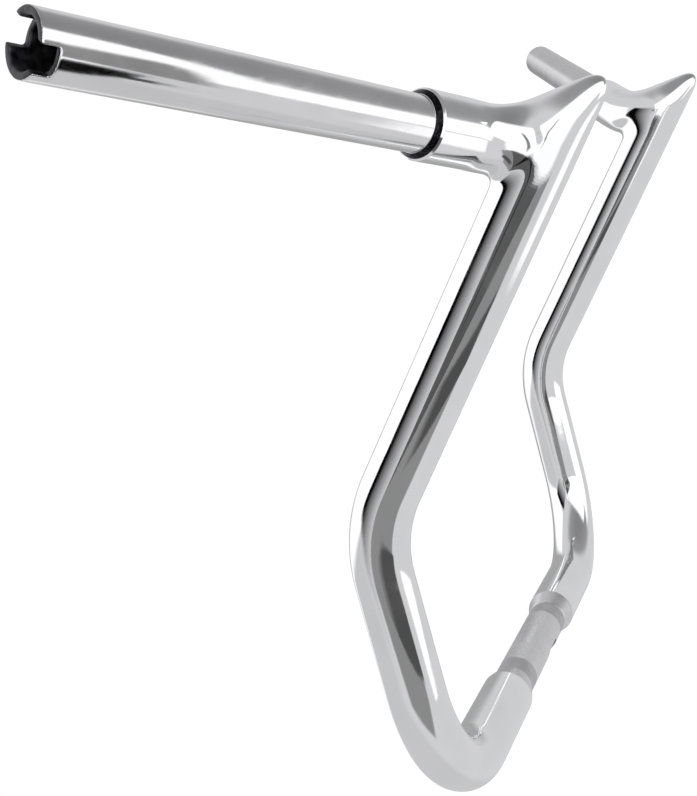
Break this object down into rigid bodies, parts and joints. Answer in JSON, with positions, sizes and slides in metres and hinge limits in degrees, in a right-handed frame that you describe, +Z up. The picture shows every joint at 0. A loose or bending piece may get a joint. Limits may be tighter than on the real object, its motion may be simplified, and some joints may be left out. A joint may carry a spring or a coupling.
{
  "type": "motorcycle handlebar",
  "caption": "Tall chromed motorcycle handlebar of fat tube with pointed, mitred top corners, swept-back grips, a stepped-down knurled clamp section and a slotted throttle end.",
  "frame": {"origin": "middle of the centre clamp section, on the axis of its tube", "axes": "+X to the rider's right along the clamp section, +Y forward, +Z up with the uprights vertical"},
  "size_m": [0.8414, 0.2651, 0.3877],
  "materials": {
    "chrome": "mirror polished chrome plate",
    "satin": "plated over the machined and knurled surface, satin"
  },
  "bodies": {
    "root": {"clamp_tube": "satin", "clamp_collar_right": "satin", "clamp_collar_left": "satin", "riser_tube_right": "chrome", "riser_tube_left": "chrome", "arm_tube_right": "chrome", "arm_tube_left": "chrome", "mitre_weld_right": "chrome", "mitre_weld_left": "chrome", "grip_collar_right": "chrome", "grip_collar_left": "chrome", "throttle_grip_tube": "chrome", "clutch_grip_tube": "chrome"}
  },
  "joints": []
}
